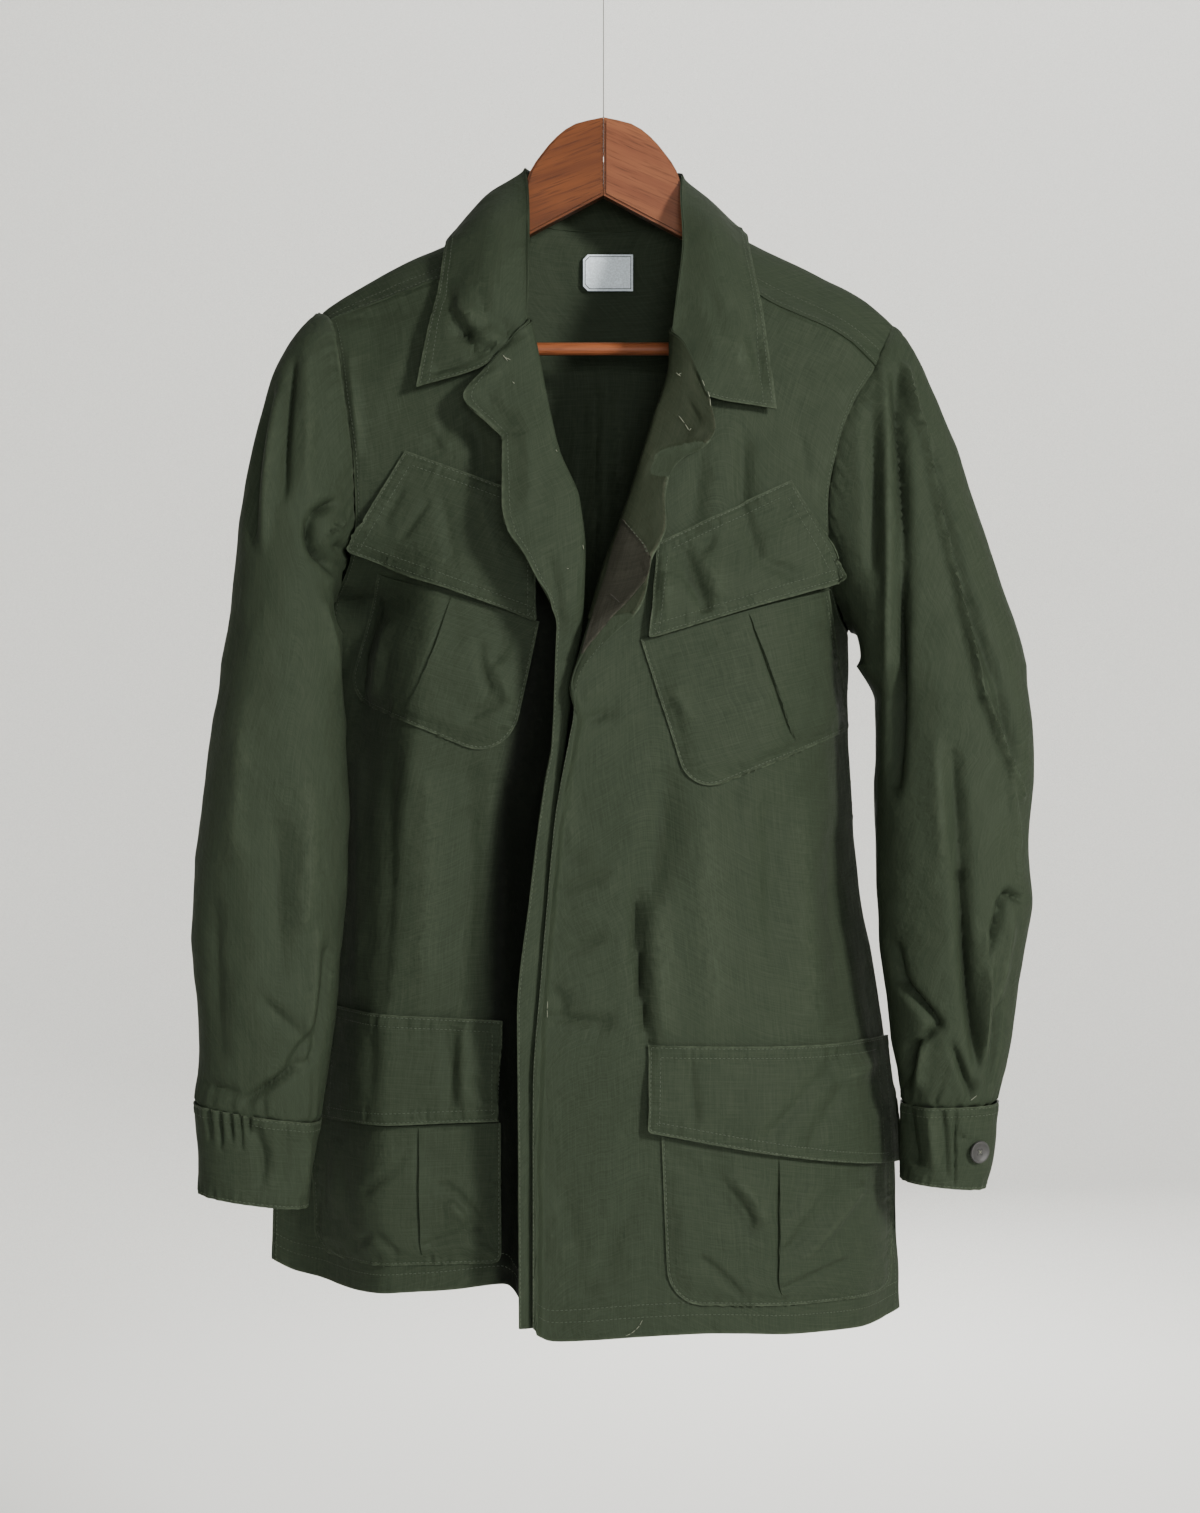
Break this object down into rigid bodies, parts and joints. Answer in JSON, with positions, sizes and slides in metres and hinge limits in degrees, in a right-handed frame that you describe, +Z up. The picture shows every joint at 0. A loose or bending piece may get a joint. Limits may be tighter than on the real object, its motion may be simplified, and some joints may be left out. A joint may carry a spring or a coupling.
{
  "type": "jacket on a hanger",
  "caption": "Cotton jungle jacket, open at the neck, with a turned-down collar, slanted chest pockets and lower flap pockets, hung on a wooden hanger.",
  "frame": {"origin": "top of the hanger's rounded head, where the taut thread holds it", "axes": "+Z up, -Y the way the jacket's front faces, +X toward the wearer's left"},
  "size_m": [0.59, 0.1809, 0.9675],
  "materials": {
    "olive_cotton": "matt woven cotton with a faint grid of thicker threads",
    "facing_cotton": "matt woven cotton, faded inside",
    "button": "satin",
    "label_white": "matt woven tape",
    "wood": "satin lacquer, reddish",
    "thread": "matt twisted thread"
  },
  "bodies": {
    "root": {"back": "olive_cotton", "yoke": "olive_cotton", "right_front": "olive_cotton", "left_front": "olive_cotton", "collar": "olive_cotton", "right_sleeve": "olive_cotton", "left_sleeve": "olive_cotton", "right_cuff": "olive_cotton", "left_cuff": "olive_cotton", "right_chest_pocket": "olive_cotton", "right_chest_flap": "olive_cotton", "left_chest_pocket": "olive_cotton", "left_chest_flap": "olive_cotton", "right_lower_pocket": "olive_cotton", "right_lower_flap": "olive_cotton", "left_lower_pocket": "olive_cotton", "left_lower_flap": "olive_cotton", "right_facing": "facing_cotton", "left_facing": "facing_cotton", "right_cuff_button": "button", "left_cuff_button": "button", "label": "label_white", "hanger_right": "wood", "hanger_left": "wood", "hanger_bar": "wood", "hang_cord": "thread", "hang_loop": "thread"}
  },
  "joints": []
}
